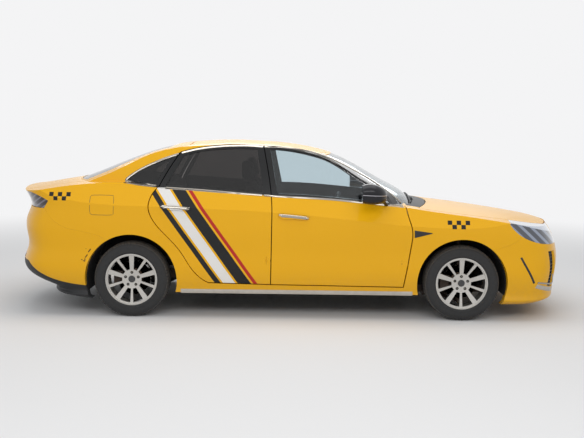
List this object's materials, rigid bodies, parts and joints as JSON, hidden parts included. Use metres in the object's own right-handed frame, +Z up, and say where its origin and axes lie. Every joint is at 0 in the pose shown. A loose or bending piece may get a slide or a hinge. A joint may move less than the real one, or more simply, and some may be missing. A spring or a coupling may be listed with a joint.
{
  "type": "taxi cab",
  "caption": "Yellow liftback taxi cab with four hinged doors, hood and tailgate, steered front wheels and a furnished cabin.",
  "frame": {"origin": "on the ground, under the middle of the bounding box", "axes": "+X towards the nose, +Y towards the car's left side, +Z up"},
  "size_m": [4.7746, 2.189, 1.4759],
  "materials": {
    "yellow_paint": "gloss",
    "glass": "gloss",
    "tinted_glass": "gloss",
    "lamp_lens": "gloss",
    "smoked_lens": "gloss",
    "black_plastic": "matte",
    "underbody": "matte",
    "tyre": "matte",
    "alloy": "satin",
    "cast_iron": "matte",
    "steel": "satin",
    "upholstery": "matte"
  },
  "bodies": {
    "body": {"arch_liners": "black_plastic", "boot_floor": "underbody", "centre_pillars": "underbody", "cowl": "black_plastic", "dashboard": "black_plastic", "door_hinges": "steel", "engine_block": "cast_iron", "exhaust": "steel", "fenders": "yellow_paint", "firewall": "underbody", "floor_pan": "underbody", "front_bumper": "yellow_paint", "front_grille": "black_plastic", "front_panel": "underbody", "front_seats": "upholstery", "front_struts": "cast_iron", "front_subframe": "cast_iron", "fuel_tank": "black_plastic", "headlamps": "lamp_lens", "quarter_glass": "tinted_glass", "rear_axle": "cast_iron", "rear_bench": "upholstery", "rear_bumper": "yellow_paint", "rear_valance": "black_plastic", "roof_panel": "yellow_paint", "rubber_stops": "black_plastic", "side_frame_left": "yellow_paint", "side_frame_right": "yellow_paint", "tail_lamps": "smoked_lens", "windscreen": "glass"},
    "front_door_left": {"front_door_left": "yellow_paint", "front_door_glass_left": "glass", "mirror_left": "black_plastic"},
    "rear_door_left": {"rear_door_left": "yellow_paint", "rear_door_glass_left": "tinted_glass"},
    "knuckle_left": {"knuckle_left": "cast_iron"},
    "front_wheel_left": {"front_tyre_left": "tyre", "front_rim_left": "alloy"},
    "rear_wheel_left": {"rear_tyre_left": "tyre", "rear_rim_left": "alloy"},
    "front_door_right": {"front_door_right": "yellow_paint", "front_door_glass_right": "glass", "mirror_right": "black_plastic"},
    "rear_door_right": {"rear_door_right": "yellow_paint", "rear_door_glass_right": "tinted_glass"},
    "knuckle_right": {"knuckle_right": "cast_iron"},
    "front_wheel_right": {"front_tyre_right": "tyre", "front_rim_right": "alloy"},
    "rear_wheel_right": {"rear_tyre_right": "tyre", "rear_rim_right": "alloy"},
    "hood": {"hood": "yellow_paint"},
    "tailgate": {"tailgate": "yellow_paint", "tailgate_glass": "tinted_glass", "tailgate_lamp": "smoked_lens"},
    "steering_wheel": {"steering_wheel": "black_plastic"}
  },
  "joints": [
    {"name": "front_door_left_hinge", "type": "hinge", "parent": "body", "child": "front_door_left", "pos_m": [0.93216, 0.893, 0.6], "axis": [0, 0, -1], "range_deg": [0, 65]},
    {"name": "rear_door_left_hinge", "type": "hinge", "parent": "body", "child": "rear_door_left", "pos_m": [-0.19116, 0.894, 0.6], "axis": [0, 0, -1], "range_deg": [0, 65]},
    {"name": "front_door_right_hinge", "type": "hinge", "parent": "body", "child": "front_door_right", "pos_m": [0.93216, -0.893, 0.6], "axis": [0, 0, 1], "range_deg": [0, 65]},
    {"name": "rear_door_right_hinge", "type": "hinge", "parent": "body", "child": "rear_door_right", "pos_m": [-0.19116, -0.894, 0.6], "axis": [0, 0, 1], "range_deg": [0, 65]},
    {"name": "hood_hinge", "type": "hinge", "parent": "body", "child": "hood", "pos_m": [1.0536, 0, 0.935], "axis": [0, -1, 0], "range_deg": [0, 50]},
    {"name": "tailgate_hinge", "type": "hinge", "parent": "body", "child": "tailgate", "pos_m": [-0.86184, 0, 1.456], "axis": [0, 1, 0], "range_deg": [0, 75]},
    {"name": "steer_left", "type": "hinge", "parent": "body", "child": "knuckle_left", "pos_m": [1.44, 0.705, 0.314], "axis": [0, 0, 1], "range_deg": [-33, 33]},
    {"name": "steer_right", "type": "hinge", "parent": "body", "child": "knuckle_right", "pos_m": [1.44, -0.705, 0.314], "axis": [0, 0, 1], "range_deg": [-33, 33]},
    {"name": "steering_wheel_turn", "type": "hinge", "parent": "body", "child": "steering_wheel", "pos_m": [0.4188, 0.37, 0.79], "axis": [-0.9402, 0, 0.3406], "range_deg": [-520, 520]},
    {"name": "front_wheel_left_spin", "type": "hinge", "parent": "knuckle_left", "child": "front_wheel_left", "pos_m": [1.44, 0.774, 0.314], "axis": [0, 1, 0], "continuous": true},
    {"name": "front_wheel_right_spin", "type": "hinge", "parent": "knuckle_right", "child": "front_wheel_right", "pos_m": [1.44, -0.774, 0.314], "axis": [0, 1, 0], "continuous": true},
    {"name": "rear_wheel_left_spin", "type": "hinge", "parent": "body", "child": "rear_wheel_left", "pos_m": [-1.32, 0.774, 0.314], "axis": [0, 1, 0], "continuous": true},
    {"name": "rear_wheel_right_spin", "type": "hinge", "parent": "body", "child": "rear_wheel_right", "pos_m": [-1.32, -0.774, 0.314], "axis": [0, 1, 0], "continuous": true}
  ],
  "couplings": [
    {"joint": "steer_right", "follows": "steer_left", "ratio": 1},
    {"joint": "steering_wheel_turn", "follows": "steer_left", "ratio": 15}
  ]
}
